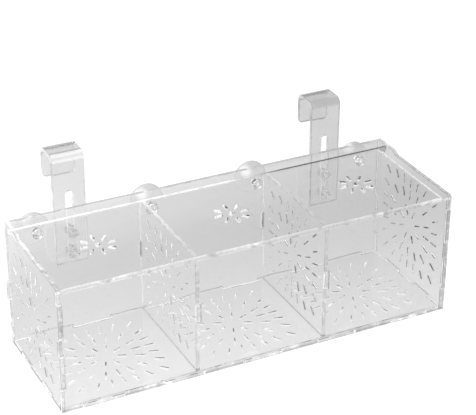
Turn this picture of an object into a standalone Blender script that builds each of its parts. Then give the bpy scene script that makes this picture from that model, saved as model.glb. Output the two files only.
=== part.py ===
# A clear acrylic fish breeding box: a three-cell tray of laser-cut sheet with slotted walls,
# a hinged lid, two hooks that each slide on two clamp screws, and four suction cups.
# Units are metres, +X is to the right, +Y to the tank wall, +Z up.
# The origin is the centre of the floor's underside.

from math import cos, hypot, pi, radians, sin

import bmesh
import bpy
from mathutils import Matrix
from mathutils.geometry import delaunay_2d_cdt

# Sheet, gaps, cutters and the box
sheet = 0.003
fit_gap = 0.0003
weld_distance = 0.0000003
cut_overrun = 0.0015
smooth_angle = radians(38)
box_width = 0.300
box_depth = 0.098
box_height = 0.095
rear_rise = 0.0024
half_width = box_width / 2
half_depth = box_depth / 2
inner_width = half_width - sheet
inner_depth = half_depth - sheet
wall_top = box_height - sheet - fit_gap
rear_top = box_height + rear_rise

# Cells and dividers
cell_count = 3
cell_width = (2 * inner_width - (cell_count - 1) * sheet) / cell_count
cell_spacing = cell_width + sheet
divider_top_gap = 0.001

# Burst of slots in the floor, the end panels and the dividers, all of one size.
# A ring's place and slot length are shares of the burst's half size; a superellipse
# exponent of 2 makes a ring round and a higher one squares it.
burst_margin = 0.0112
burst_half_size = min(box_height, box_depth, cell_spacing) / 2 - burst_margin
burst_height = box_height / 2
slot_width = 0.001
slot_end_steps = 2
ring_slot_counts = (8, 16, 24)
ring_first_turn_shares = (0.5, 0, 0)
ring_place_shares = (0.303, 0.614, 0.901)
ring_slot_length_shares = (0.174, 0.207, 0.198)
ring_exponent_shares = (2, 4.8, 12)

# Finger joints. Those on upright edges are low and high ends in shares of the front panel's height.
corner_finger_shares = ((0.191, 0.475), (0.620, 0.905))
rear_finger_top_share = 0.191
rear_tab_shares = (0.393, 0.556)
rear_tab_stand_out = 0.0014
divider_tab_shares = (0.477, 0.620)
floor_tab_count = 5
floor_tab_length_share = 0.5
floor_end_tab_count = 2
floor_end_tab_spacing_share = 0.41
floor_end_tab_length_share = 0.18

# End panels' rear ears
ear_length = 0.021
ear_ramp_length = 0.0047
corner_arc_steps = 6

# Lid, its hinge tabs and vents
lid_end_gap = 0.0057
lid_length = 2 * inner_width - fit_gap - lid_end_gap
lid_rear_gap = 0.0053
lid_tab_inset = 0.0003
pivot_clearance = 0.0005
pivot_hole_sides = 12
vent_count = 3
vent_spacing_share = 0.347
vent_slot_count = 8
vent_ring_radius = 0.010
vent_slot_length = 0.0062
vent_slot_width = 0.0018
vent_hole_radius = 0.0021
vent_hole_sides = 12

# Hooks: heights are counted from the hook's own top
hook_place_share = 0.677
hook_width = 0.024
hook_rise = 0.0406
hook_top = rear_top + hook_rise
hook_length = 0.0865
hook_reach = 0.022
hook_lip_length = 0.024
hook_inner_bend = 0.0025
hook_bend_steps = 6
hook_corner_radius = 0.003
hook_corner_steps = 5
hook_slot_width = 0.0056
hook_slot_from_top = 0.0287
hook_slot_from_bottom = 0.004
hook_slot_end_steps = 6

# Clamp screws and nuts, two of each for a hook, one above the other
screw_below_rear_top = 0.0214
screw_spacing = 0.016
screw_radius = 0.002
screw_sides = 12
screw_clearance = 0.0003
screw_head_radius = 0.0038
screw_head_height = 0.0024
screw_head_crown = 0.0008
screw_crown_share = 0.75
screw_drive_width = 0.001
screw_drive_depth = 0.0012
screw_end_chamfer = 0.0005
screw_stick_out = 0.0012
nut_flats = 0.007
nut_height = 0.0032
nut_chamfer = 0.0005

# Suction cups
cup_below_rear_top = 0.0138
cup_from_hook_edge = 0.015
cup_inner_place_share = 0.277
cup_radius = 0.0128
cup_reach = 0.0068
cup_rim_thickness = 0.0008
cup_shoulder_radius = 0.0045
cup_hollow_depth = 0.0038
cup_dome_power_share = 0.75
cup_neck_radius = 0.0024
cup_knob_radius = 0.0039
cup_knob_length = 0.0045
cup_knob_taper = 0.0011
cup_sides = 16
cup_dome_steps = 4
cup_hole_clearance = 0.0003
cup_hole_sides = 12


def arc(centre_u, centre_v, radius, start, end, steps):
    """Points along an arc, both ends included; the angles are in radians."""
    points = []
    for step in range(steps + 1):
        angle = start + (end - start) * step / steps
        points.append((centre_u + radius * cos(angle), centre_v + radius * sin(angle)))
    return points


def circle(centre_u, centre_v, radius, sides):
    return arc(centre_u, centre_v, radius, 0, 2 * pi * (sides - 1) / sides, sides - 1)


def slot(centre_u, centre_v, length, width, angle, end_steps):
    """A slot with round ends, its length along the angle."""
    radius = width / 2
    reach = length / 2 - radius
    points = []
    for turn in (0, pi):
        end_u = centre_u + reach * cos(angle + turn)
        end_v = centre_v + reach * sin(angle + turn)
        points += arc(end_u, end_v, radius, angle + turn - pi / 2, angle + turn + pi / 2, end_steps)
    return points


def rectangle(low_u, low_v, high_u, high_v):
    return [(low_u, low_v), (high_u, low_v), (high_u, high_v), (low_u, high_v)]


def slot_ring(centre_u, centre_v, ring):
    """Radial slots whose centres lie on a rounded square: |u|^n + |v|^n = size^n."""
    count = ring_slot_counts[ring]
    size = burst_half_size * ring_place_shares[ring]
    length = burst_half_size * ring_slot_length_shares[ring]
    exponent = ring_exponent_shares[ring]
    slots = []
    for index in range(count):
        angle = 2 * pi * (index + ring_first_turn_shares[ring]) / count
        radius = size / (abs(cos(angle)) ** exponent + abs(sin(angle)) ** exponent) ** (1 / exponent)
        slot_u = centre_u + radius * cos(angle)
        slot_v = centre_v + radius * sin(angle)
        slots.append(slot(slot_u, slot_v, length, slot_width, angle, slot_end_steps))
    return slots


def burst(centre_u, centre_v):
    """The three rings of slots: a round one, a rounded square and a nearly square one."""
    return [opening for ring in range(len(ring_slot_counts)) for opening in slot_ring(centre_u, centre_v, ring)]


def row(count, spacing):
    """Centres of a row of copies about zero."""
    return [spacing * (index - (count - 1) / 2) for index in range(count)]


def stepped_edge(start, end, base, steps):
    """Points (along, level) of an edge at the base level that steps to other levels."""
    points = [(start, base)]
    for low, high, level in steps:
        points += [(low, base), (low, level), (high, level), (high, base)]
    points.append((end, base))
    return points


def clear_material(name, colour, roughness, ior):
    material = bpy.data.materials.new(name)
    material.use_nodes = True
    shader = material.node_tree.nodes["Principled BSDF"]
    shader.inputs["Base Color"].default_value = (*colour, 1)
    shader.inputs["Roughness"].default_value = roughness
    shader.inputs["Metallic"].default_value = 0
    shader.inputs["Transmission Weight"].default_value = 1
    shader.inputs["IOR"].default_value = ior
    return material


def add_object(name, mesh, material, matrix):
    piece = bpy.data.objects.new(name, mesh)
    mesh.materials.clear()
    mesh.materials.append(material)
    bpy.context.collection.objects.link(piece)
    piece.matrix_world = matrix
    return piece


def sheet_mesh(name, outline, holes, thickness):
    """A flat sheet: the outline and its holes are filled with triangles and extruded along +Z."""
    loops = [outline] + holes
    points = [point for loop in loops for point in loop]
    faces = []
    first = 0
    for loop in loops:
        faces.append(list(range(first, first + len(loop))))
        first += len(loop)
    corners, _, triangles, *_ = delaunay_2d_cdt(points, [], faces, 2, weld_distance)
    form = bmesh.new()
    vertices = [form.verts.new((corner.x, corner.y, 0)) for corner in corners]
    for triangle in triangles:
        form.faces.new([vertices[index] for index in triangle])
    extruded = bmesh.ops.extrude_face_region(form, geom=form.faces[:])
    moved = [item for item in extruded["geom"] if isinstance(item, bmesh.types.BMVert)]
    bmesh.ops.translate(form, vec=(0, 0, thickness), verts=moved)
    bmesh.ops.recalc_face_normals(form, faces=form.faces[:])
    mesh = bpy.data.meshes.new(name)
    form.to_mesh(mesh)
    form.free()
    return mesh


def turned_mesh(name, profile, sides):
    """A closed solid turned about +Z from (radius, height) points that start and end on the axis."""
    form = bmesh.new()
    rings = []
    for radius, height in profile:
        if radius == 0:
            rings.append([form.verts.new((0, 0, height))])
        else:
            ring = []
            for side in range(sides):
                angle = 2 * pi * side / sides
                ring.append(form.verts.new((radius * cos(angle), radius * sin(angle), height)))
            rings.append(ring)
    for lower, upper in zip(rings, rings[1:]):
        for side in range(sides):
            following = (side + 1) % sides
            if len(lower) == 1:
                form.faces.new((lower[0], upper[following], upper[side]))
            elif len(upper) == 1:
                form.faces.new((lower[side], lower[following], upper[0]))
            else:
                form.faces.new((lower[side], lower[following], upper[following], upper[side]))
    bmesh.ops.recalc_face_normals(form, faces=form.faces[:])
    mesh = bpy.data.meshes.new(name)
    form.to_mesh(mesh)
    form.free()
    return mesh


def facing_back(x, y, z):
    """Sheet coordinates (u, v, thickness) become X, Z and -Y, from the face at this Y forwards."""
    return Matrix.Translation((x, y, z)) @ Matrix.Rotation(pi / 2, 4, "X")


def facing_right(x, y, z):
    """Sheet coordinates (u, v, thickness) become Y, Z and +X, from the face at this X rightwards."""
    turn = Matrix(((0, 0, 1, 0), (1, 0, 0, 0), (0, 1, 0, 0), (0, 0, 0, 1)))
    return Matrix.Translation((x, y, z)) @ turn


def ends(shares):
    """Low and high end of a finger or tab on an upright edge."""
    return shares[0] * wall_top, shares[1] * wall_top


def divider_tab_holes():
    """Slots in the front and back panels for the tabs of the dividers."""
    low, high = ends(divider_tab_shares)
    return [rectangle(centre - sheet / 2 - fit_gap, low - fit_gap, centre + sheet / 2 + fit_gap, high + fit_gap)
            for centre in row(cell_count - 1, cell_spacing)]


def tab_ends(count, spacing, length, gap):
    """Low and high ends of a row of tabs, each wider by the gap on both sides."""
    return [(centre - length / 2 - gap, centre + length / 2 + gap) for centre in row(count, spacing)]


def floor_side_tabs(gap):
    """The floor's tabs into the front and back panels."""
    spacing = box_width / floor_tab_count
    return tab_ends(floor_tab_count, spacing, spacing * floor_tab_length_share, gap)


def floor_end_tabs(gap):
    """The floor's tabs into the end panels."""
    return tab_ends(floor_end_tab_count, box_depth * floor_end_tab_spacing_share,
                    box_depth * floor_end_tab_length_share, gap)


def hook_centres():
    return [-half_width * hook_place_share, half_width * hook_place_share]


def cup_centres():
    """X of the four suction cups: two beside the hooks' outer edges and two between the hooks."""
    inner = half_width * cup_inner_place_share
    outer = hook_centres()[1] + hook_width / 2 + cup_from_hook_edge
    return [-outer, -inner, inner, outer]


def add_floor_panel(material):
    inner_u = inner_width - fit_gap
    inner_v = inner_depth - fit_gap
    side = stepped_edge(-inner_u, inner_u, inner_v, [(low, high, half_depth) for low, high in floor_side_tabs(0)])
    end = stepped_edge(-inner_v, inner_v, inner_u, [(low, high, half_width) for low, high in floor_end_tabs(0)])
    outline = [(along, -level) for along, level in side[:-1]]
    outline += [(level, along) for along, level in end[:-1]]
    outline += [(-along, level) for along, level in side[:-1]]
    outline += [(-level, -along) for along, level in end[:-1]]
    holes = []
    for centre in row(cell_count, cell_spacing):
        holes += burst(centre, 0)
    mesh = sheet_mesh("floor_panel", outline, holes, sheet)
    return add_object("floor_panel", mesh, material, Matrix())


def notched_bottom():
    """The bottom edge of the front or back panel, notched for the floor's tabs."""
    notches = [(low, high, sheet + fit_gap) for low, high in floor_side_tabs(fit_gap)]
    return stepped_edge(-half_width, half_width, 0, notches)


def add_front_panel(material):
    inner_u = inner_width - fit_gap
    notches = []
    for shares in corner_finger_shares:
        low, high = ends(shares)
        notches.append((low - fit_gap, high + fit_gap, inner_u))
    side = stepped_edge(0, wall_top, half_width, notches)
    outline = notched_bottom()[:-1]
    outline += [(level, along) for along, level in side]
    outline += [(-level, along) for along, level in reversed(side[1:])]
    mesh = sheet_mesh("front_panel", outline, divider_tab_holes(), sheet)
    return add_object("front_panel", mesh, material, facing_back(0, -inner_depth, 0))


def add_back_panel(material):
    inner_u = inner_width - fit_gap
    tab_end = half_width + rear_tab_stand_out
    tab_low, tab_high = ends(rear_tab_shares)
    finger_top = rear_finger_top_share * wall_top
    side = [(half_width, 0), (half_width, finger_top), (inner_u, finger_top), (inner_u, tab_low),
            (tab_end, tab_low), (tab_end, tab_high), (inner_u, tab_high), (inner_u, rear_top)]
    outline = notched_bottom()[:-1] + side
    outline += [(-level, along) for level, along in reversed(side[1:])]
    holes = divider_tab_holes()
    for centre in hook_centres():
        for height in screw_heights():
            holes.append(circle(centre, height, screw_radius + screw_clearance, screw_sides))
    for centre in cup_centres():
        holes.append(circle(centre, cup_height(), cup_neck_radius + cup_hole_clearance, cup_hole_sides))
    mesh = sheet_mesh("back_panel", outline, holes, sheet)
    return add_object("back_panel", mesh, material, facing_back(0, half_depth, 0))


def screw_heights():
    """Z of a hook's upper and lower screw."""
    upper = rear_top - screw_below_rear_top
    return upper, upper - screw_spacing


def cup_height():
    return rear_top - cup_below_rear_top


def pivot_place():
    """Y and Z of the lid's hinge axis: half a sheet in from the lid's rear edge."""
    return inner_depth - lid_rear_gap - sheet / 2, box_height - sheet / 2


def end_panel_mesh():
    """Drawn in Y and Z, anticlockwise from the bottom front corner."""
    inner_v = inner_depth - fit_gap
    notches = [(low, high, sheet + fit_gap) for low, high in floor_end_tabs(fit_gap)]
    outline = stepped_edge(-inner_v, inner_v, 0, notches)
    tab_low, tab_high = ends(rear_tab_shares)
    finger_top = rear_finger_top_share * wall_top
    outline += [(inner_v, finger_top + fit_gap), (half_depth, finger_top + fit_gap),
                (half_depth, tab_low - fit_gap), (inner_v, tab_low - fit_gap),
                (inner_v, tab_high + fit_gap), (half_depth, tab_high + fit_gap),
                (half_depth, rear_top), (half_depth - ear_length, rear_top),
                (half_depth - ear_length - ear_ramp_length, box_height)]
    outline += arc(-inner_depth, box_height - sheet, sheet, pi / 2, pi, corner_arc_steps)
    outline.append((-inner_v, box_height - sheet))
    for shares in reversed(corner_finger_shares):
        low, high = ends(shares)
        outline += [(-inner_v, high - fit_gap), (-half_depth, high - fit_gap),
                    (-half_depth, low + fit_gap), (-inner_v, low + fit_gap)]
    holes = burst(0, burst_height)
    holes.append(circle(*pivot_place(), hypot(sheet, sheet) / 2 + pivot_clearance, pivot_hole_sides))
    return sheet_mesh("end_panel", outline, holes, sheet)


def add_end_panels(material):
    mesh = end_panel_mesh()
    add_object("left_end_panel", mesh, material, facing_right(-half_width, 0, 0))
    add_object("right_end_panel", mesh.copy(), material, facing_right(half_width - sheet, 0, 0))


def add_dividers(material):
    """Drawn in Y and Z, with one tab at the front and one at the back."""
    low, high = ends(divider_tab_shares)
    side = stepped_edge(sheet + fit_gap, box_height - sheet - divider_top_gap, inner_depth - fit_gap,
                        [(low, high, half_depth)])
    outline = [(level, along) for along, level in side]
    outline += [(-level, along) for along, level in reversed(side)]
    mesh = sheet_mesh("divider", outline, burst(0, burst_height), sheet)
    for name, centre in zip(("left_divider", "right_divider"), row(cell_count - 1, cell_spacing)):
        add_object(name, mesh.copy(), material, facing_right(centre - sheet / 2, 0, 0))


def add_lid(material):
    """The lid's sheet is drawn about its hinge axis, with a square hinge tab at each rear corner."""
    pivot_y, pivot_z = pivot_place()
    left = -inner_width + fit_gap
    right = left + lid_length
    rear = sheet / 2
    front = -half_depth - pivot_y
    tab_end = half_width - lid_tab_inset
    outline = [(left, front), (right, front), (right, -rear), (tab_end, -rear), (tab_end, rear),
               (-tab_end, rear), (-tab_end, -rear), (left, -rear)]
    holes = []
    middle = (left + right) / 2
    vent_v = (front + rear) / 2
    for offset in row(vent_count, lid_length * vent_spacing_share):
        holes.append(circle(middle + offset, vent_v, vent_hole_radius, vent_hole_sides))
        for index in range(vent_slot_count):
            angle = 2 * pi * index / vent_slot_count
            slot_u = middle + offset + vent_ring_radius * cos(angle)
            slot_v = vent_v + vent_ring_radius * sin(angle)
            holes.append(slot(slot_u, slot_v, vent_slot_length, vent_slot_width, angle, slot_end_steps))
    mesh = sheet_mesh("lid", outline, holes, sheet)
    mesh.transform(Matrix.Translation((0, 0, -sheet / 2)))
    return add_object("lid", mesh, material, Matrix.Translation((0, pivot_y, pivot_z)))


def hook_profile():
    """The strip's side view (back, up): a path of inner bends of one radius with the sheet outside them."""
    front = fit_gap
    outer_bend = hook_inner_bend + sheet
    rear = hook_reach
    top = hook_top
    lip_end = top - hook_lip_length
    outer = [(front, top - hook_length)]
    outer += arc(front + outer_bend, top - outer_bend, outer_bend, pi, pi / 2, hook_bend_steps)
    outer += arc(rear - outer_bend, top - outer_bend, outer_bend, pi / 2, 0, hook_bend_steps)
    outer.append((rear, lip_end))
    inner = [(rear - sheet, lip_end)]
    inner += arc(rear - outer_bend, top - outer_bend, hook_inner_bend, 0, pi / 2, hook_bend_steps)
    inner += arc(front + outer_bend, top - outer_bend, hook_inner_bend, pi / 2, pi, hook_bend_steps)
    inner.append((front + sheet, top - hook_length))
    return outer + inner


def cutter(name, mesh):
    tool = bpy.data.objects.new(name, mesh)
    bpy.context.collection.objects.link(tool)
    tool.hide_render = True
    tool.display_type = "WIRE"
    return tool


def cut(piece, tool):
    modifier = piece.modifiers.new(tool.name, "BOOLEAN")
    modifier.operation = "DIFFERENCE"
    modifier.solver = "EXACT"
    modifier.object = tool


def hook_slot_cutter(centre):
    """A tall slot right through the strip from front to back."""
    high = hook_top - hook_slot_from_top
    low = hook_top - hook_length + hook_slot_from_bottom
    outline = slot(0, (low + high) / 2, high - low, hook_slot_width, pi / 2, hook_slot_end_steps)
    mesh = sheet_mesh("hook_slot", outline, [], sheet + 2 * cut_overrun)
    tool = cutter("hook_slot_cutter", mesh)
    tool.matrix_world = facing_back(centre, half_depth + fit_gap + sheet + cut_overrun, 0)
    return tool


def lip_trim_cutter(centre):
    """What the rounded lower corners of the lip leave outside them."""
    half = hook_width / 2
    radius = hook_corner_radius
    low = hook_top - hook_lip_length
    side = half + cut_overrun
    outline = [(-side, low - cut_overrun), (side, low - cut_overrun), (side, low + radius)]
    outline += arc(half - radius, low + radius, radius, 0, -pi / 2, hook_corner_steps)
    outline += arc(-half + radius, low + radius, radius, -pi / 2, -pi, hook_corner_steps)
    outline.append((-side, low + radius))
    mesh = sheet_mesh("lip_trim", outline, [], sheet + 2 * cut_overrun)
    tool = cutter("lip_trim_cutter", mesh)
    tool.matrix_world = facing_back(centre, half_depth + hook_reach + cut_overrun, 0)
    return tool


def add_hook(name, centre, material):
    """The strip's profile is extruded across its width, then the slot and the lip's corners are cut."""
    mesh = sheet_mesh(name, hook_profile(), [], hook_width)
    place = facing_right(centre - hook_width / 2, half_depth, 0)
    mesh.transform(Matrix.Translation((-centre, -half_depth, 0)) @ place)
    hook = add_object(name, mesh, material, Matrix.Translation((centre, half_depth, 0)))
    cut(hook, hook_slot_cutter(centre))
    cut(hook, lip_trim_cutter(centre))
    return hook


def screw_length():
    """Thread from under the head to its end: the panel, the strip, the nut and what sticks out."""
    return fit_gap + sheet + fit_gap + sheet + fit_gap + nut_height + screw_stick_out


def add_screw(name, centre, height, material):
    """Turned about +Z with the head's top at the bottom, then laid along +Y; a driver slot is cut in."""
    length = screw_length()
    head_edge = -screw_head_height + screw_head_crown
    profile = [(0, -screw_head_height), (screw_head_radius * screw_crown_share, -screw_head_height),
               (screw_head_radius, head_edge), (screw_head_radius, 0),
               (screw_radius, 0), (screw_radius, length - screw_end_chamfer),
               (screw_radius - screw_end_chamfer, length), (0, length)]
    mesh = turned_mesh(name, profile, screw_sides)
    mesh.shade_smooth()
    mesh.set_sharp_from_angle(angle=smooth_angle)
    lay_back = Matrix.Rotation(-pi / 2, 4, "X")
    face = inner_depth - fit_gap
    screw = add_object(name, mesh, material, Matrix.Translation((centre, face, height)) @ lay_back)
    drive = sheet_mesh("drive", rectangle(-2 * screw_head_radius, -screw_drive_width / 2,
                                          2 * screw_head_radius, screw_drive_width / 2),
                       [], 2 * screw_drive_depth)
    tool = cutter("drive_cutter", drive)
    tool.matrix_world = facing_back(centre, face - screw_head_height + screw_drive_depth, height)
    cut(screw, tool)
    return screw


def nut_mesh():
    """A chamfered hexagon with a round bore."""
    corner = nut_flats / 2 / cos(pi / 6)
    hexagon = circle(0, 0, corner, 6)
    bore = circle(0, 0, screw_radius + screw_clearance, screw_sides)
    mesh = sheet_mesh("nut", hexagon, [bore], nut_height)
    form = bmesh.new()
    form.from_mesh(mesh)
    rim = [edge for edge in form.edges
           if edge.verts[0].co.z == edge.verts[1].co.z
           and min(hypot(vertex.co.x, vertex.co.y) for vertex in edge.verts) > corner - nut_chamfer]
    bmesh.ops.bevel(form, geom=rim, offset=nut_chamfer, segments=1, affect="EDGES")
    form.to_mesh(mesh)
    form.free()
    return mesh


def add_nut(name, centre, height, material):
    face = half_depth + fit_gap + sheet + fit_gap
    lay_back = Matrix.Rotation(-pi / 2, 4, "X")
    return add_object(name, nut_mesh(), material, Matrix.Translation((centre, face, height)) @ lay_back)


def cup_profile():
    """From the knob's tip, through the neck and the dome to the rim, and back inside to the axis.
    Height 0 is one gap in front of the back panel's front face."""
    panel_back = sheet + 2 * fit_gap
    rim = panel_back + cup_reach
    dome_rise = cup_reach - cup_rim_thickness
    span = cup_radius - cup_shoulder_radius
    profile = [(0, -cup_knob_length), (cup_knob_radius - cup_knob_taper, -cup_knob_length),
               (cup_knob_radius, -cup_knob_length + cup_knob_taper), (cup_knob_radius, -cup_knob_taper),
               (cup_knob_radius - cup_knob_taper, 0), (cup_neck_radius, 0),
               (cup_neck_radius, panel_back), (cup_shoulder_radius, panel_back)]
    for step in range(1, cup_dome_steps + 1):
        angle = pi / 2 * step / cup_dome_steps
        profile.append((cup_shoulder_radius + span * sin(angle),
                        panel_back + dome_rise * (1 - cos(angle)) ** cup_dome_power_share))
    profile.append((cup_radius, rim))
    for step in range(1, cup_dome_steps + 1):
        angle = pi / 2 * step / cup_dome_steps
        profile.append(((cup_radius - cup_rim_thickness) * cos(angle), rim - cup_hollow_depth * sin(angle)))
    profile[-1] = (0, rim - cup_hollow_depth)
    return profile


def add_suction_cups(material):
    names = ("suction_cup_left_outer", "suction_cup_left_inner",
             "suction_cup_right_inner", "suction_cup_right_outer")
    mesh = turned_mesh("suction_cup", cup_profile(), cup_sides)
    mesh.shade_smooth()
    mesh.set_sharp_from_angle(angle=smooth_angle)
    lay_back = Matrix.Rotation(-pi / 2, 4, "X")
    for name, centre in zip(names, cup_centres()):
        face = inner_depth - fit_gap
        add_object(name, mesh.copy(), material, Matrix.Translation((centre, face, cup_height())) @ lay_back)


def build():
    for piece in list(bpy.data.objects):
        bpy.data.objects.remove(piece)
    acrylic = clear_material("clear_acrylic", (0.97, 0.975, 0.975), 0.03, 1.49)
    cast = clear_material("clear_hook_acrylic", (0.95, 0.955, 0.955), 0.05, 1.49)
    nylon = clear_material("clear_nylon", (0.93, 0.93, 0.92), 0.2, 1.53)
    vinyl = clear_material("clear_vinyl", (0.93, 0.94, 0.94), 0.08, 1.53)
    add_floor_panel(acrylic)
    add_front_panel(acrylic)
    add_back_panel(acrylic)
    add_end_panels(acrylic)
    add_dividers(acrylic)
    add_lid(acrylic)
    for side, centre in zip(("left", "right"), hook_centres()):
        add_hook("hook_" + side, centre, cast)
        for level, height in zip(("upper", "lower"), screw_heights()):
            add_screw("hook_screw_" + side + "_" + level, centre, height, nylon)
            add_nut("hook_nut_" + side + "_" + level, centre, height, nylon)
    add_suction_cups(vinyl)


build()
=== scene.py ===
import math

import bpy
import numpy as np
from mathutils import Matrix, Vector
from mathutils.geometry import delaunay_2d_cdt


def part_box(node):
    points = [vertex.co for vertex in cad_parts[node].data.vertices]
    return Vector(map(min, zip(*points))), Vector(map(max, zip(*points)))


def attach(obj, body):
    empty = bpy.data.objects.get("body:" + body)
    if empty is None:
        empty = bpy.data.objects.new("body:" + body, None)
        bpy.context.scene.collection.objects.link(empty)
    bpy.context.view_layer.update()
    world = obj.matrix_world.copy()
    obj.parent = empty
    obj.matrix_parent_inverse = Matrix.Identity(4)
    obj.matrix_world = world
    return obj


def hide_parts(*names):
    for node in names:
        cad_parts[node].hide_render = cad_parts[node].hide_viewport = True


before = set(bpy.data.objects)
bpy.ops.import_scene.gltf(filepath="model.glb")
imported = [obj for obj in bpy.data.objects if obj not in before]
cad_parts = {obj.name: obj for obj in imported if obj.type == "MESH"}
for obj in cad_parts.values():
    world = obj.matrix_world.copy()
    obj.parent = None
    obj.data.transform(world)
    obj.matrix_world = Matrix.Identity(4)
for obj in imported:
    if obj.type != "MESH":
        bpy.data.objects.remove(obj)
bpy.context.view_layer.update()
print("frame loaded,", len(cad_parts), "solids")


# Camera, fitted to the box's corners in the photograph
cameraValues = {
    "yaw": 0.47084990,  # radians to the right of +Y
    "pitch": 0.49118006,  # radians down
    "roll": 0.00789973,
    "focalPixels": 1618.958,
    "imageWidth": 476,
    "sensorWidth": 36.0,
    "place": (-0.44747322, -0.88752691, 0.62821220),
    "nearest": 0.01,
    "farthest": 50,
}


def makeCamera(values):
    # The look direction comes from yaw and pitch; right and up are then turned by the roll
    yaw, pitch, roll = values["yaw"], values["pitch"], values["roll"]
    ahead = Vector((math.sin(yaw) * math.cos(pitch), math.cos(yaw) * math.cos(pitch), -math.sin(pitch)))
    level = Vector((math.cos(yaw), -math.sin(yaw), 0))
    above = level.cross(ahead)
    right = level * math.cos(roll) + above * math.sin(roll)
    up = above * math.cos(roll) - level * math.sin(roll)
    lens = bpy.data.cameras.new("camera")
    lens.sensor_width = values["sensorWidth"]
    lens.lens = values["focalPixels"] * values["sensorWidth"] / values["imageWidth"]
    lens.clip_start = values["nearest"]
    lens.clip_end = values["farthest"]
    camera = bpy.data.objects.new("camera", lens)
    turn = Matrix((right, up, -ahead)).transposed().to_4x4()
    camera.matrix_world = Matrix.Translation(values["place"]) @ turn
    bpy.context.scene.collection.objects.link(camera)
    bpy.context.scene.camera = camera


makeCamera(cameraValues)
print("camera made")


# Nodes: whatever goes into a socket is a plain value or another node's output
def feed(tree, socket, value):
    if isinstance(value, bpy.types.NodeSocket):
        tree.links.new(value, socket)
    else:
        socket.default_value = value


def feedAll(tree, sockets, values):
    for name, value in values.items():
        feed(tree, sockets[name], value)


def addNode(tree, kind, *values, **settings):
    # The values fill the node's inputs in their order
    node = tree.nodes.new(kind)
    for name, setting in settings.items():
        setattr(node, name, setting)
    for socket, value in zip(node.inputs, values):
        feed(tree, socket, value)
    return node


def addMath(tree, operation, *values):
    return addNode(tree, "ShaderNodeMath", *values, operation=operation).outputs[0]


def addSpan(tree, value, low, high, toLow, toHigh):
    return addNode(tree, "ShaderNodeMapRange", value, low, high, toLow, toHigh).outputs["Result"]


def addSmoothSpan(tree, value, low, high, toLow, toHigh):
    return addNode(tree, "ShaderNodeMapRange", value, low, high, toLow, toHigh,
                   interpolation_type="SMOOTHSTEP").outputs["Result"]


def addMix(tree, share, first, second, **settings):
    mix = addNode(tree, "ShaderNodeMix", **settings)
    feedAll(tree, mix.inputs, {"Factor": share, "A": first, "B": second})
    return mix.outputs["Result"]


def addDot(tree, first, second):
    return addNode(tree, "ShaderNodeVectorMath", first, second, operation="DOT_PRODUCT").outputs["Value"]


def addSplit(tree, vector):
    return tuple(addNode(tree, "ShaderNodeSeparateXYZ", vector).outputs)


def addPlace(tree):
    return addNode(tree, "ShaderNodeTexCoord").outputs["Object"]


def addNoise(tree, place, scale, detail=2):
    noise = addNode(tree, "ShaderNodeTexNoise")
    feedAll(tree, noise.inputs, {"Vector": place, "Scale": scale, "Detail": detail})
    return noise.outputs["Fac"]


def addBump(tree, height, distance):
    bump = addNode(tree, "ShaderNodeBump")
    feedAll(tree, bump.inputs, {"Strength": 1, "Distance": distance, "Height": height})
    return bump.outputs["Normal"]


def blendShaders(tree, share, first, second):
    return addNode(tree, "ShaderNodeMixShader", share, first, second).outputs[0]


def clearedTree(owner):
    owner.use_nodes = True
    owner.node_tree.nodes.clear()
    return owner.node_tree


# Studio: the camera sees a white ground past the object; glass sees a pale grey one through itself, with
# painted shade on it
studioValues = {
    "leftTone": 1.1,  # world brightness by direction
    "rightTone": 0.4,
    "sideSpan": (-0.6, 0.4),
    "overheadTone": 1.3,
    "overheadSpan": (0.55, 0.85),
    "darkTone": 0.03,  # the unlit room above the floor, in front and to the right
    "darkWay": (0.75, -0.66, 0.0),
    "darkSpan": (0.2, 0.42),
    "softboxPlace": (-1.15, -0.55, 1.45),  # for highlights on the rounded pieces
    "softboxSize": 0.5,
    "softboxPower": 5.0,
    "floorTone": 0.8,
    "floorWhite": 0.8,  # how much of the floor's whiteness keeps no shadow
    "floorToneLeft": 0.86,  # painted shade on the ground seen through the clear sheets: lighter at the left, darker to the right
    "floorToneRight": 0.60,
    "floorAcross": (-0.2, 0.38),
    "floorToneNear": 1.15,  # and the box's painted shadow: darker from the front to behind the box
    "floorToneFar": 0.905,
    "floorBack": (-0.06, 0.10),
    "floorFarLift": 1.15,  # and lighter again farther behind, where the painted shadow ends
    "floorBeyond": (0.12, 0.2),
    "floorHeight": -0.0004,
    "floorSize": 12.0,
}
white = (1, 1, 1, 1)


def makeWorld(values):
    # Brightness runs from left to right and up, times a dark stretch about one direction
    world = bpy.data.worlds.new("studio")
    bpy.context.scene.world = world
    tree = clearedTree(world)
    way = addNode(tree, "ShaderNodeTexCoord").outputs["Generated"]
    x, _, z = addSplit(tree, way)
    across = addSmoothSpan(tree, x, *values["sideSpan"], values["leftTone"], values["rightTone"])
    above = addSmoothSpan(tree, z, *values["overheadSpan"], 0, 1)
    tone = addMix(tree, above, across, values["overheadTone"])
    dark = addDot(tree, way, values["darkWay"])
    unlit = addSmoothSpan(tree, dark, *values["darkSpan"], 1, values["darkTone"])
    grey = addNode(tree, "ShaderNodeBackground", addMath(tree, "MULTIPLY", tone, unlit)).outputs[0]
    bright = addNode(tree, "ShaderNodeBackground", white).outputs[0]
    cameraRay = addNode(tree, "ShaderNodeLightPath").outputs["Is Camera Ray"]
    addNode(tree, "ShaderNodeOutputWorld", blendShaders(tree, cameraRay, grey, bright))


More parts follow.
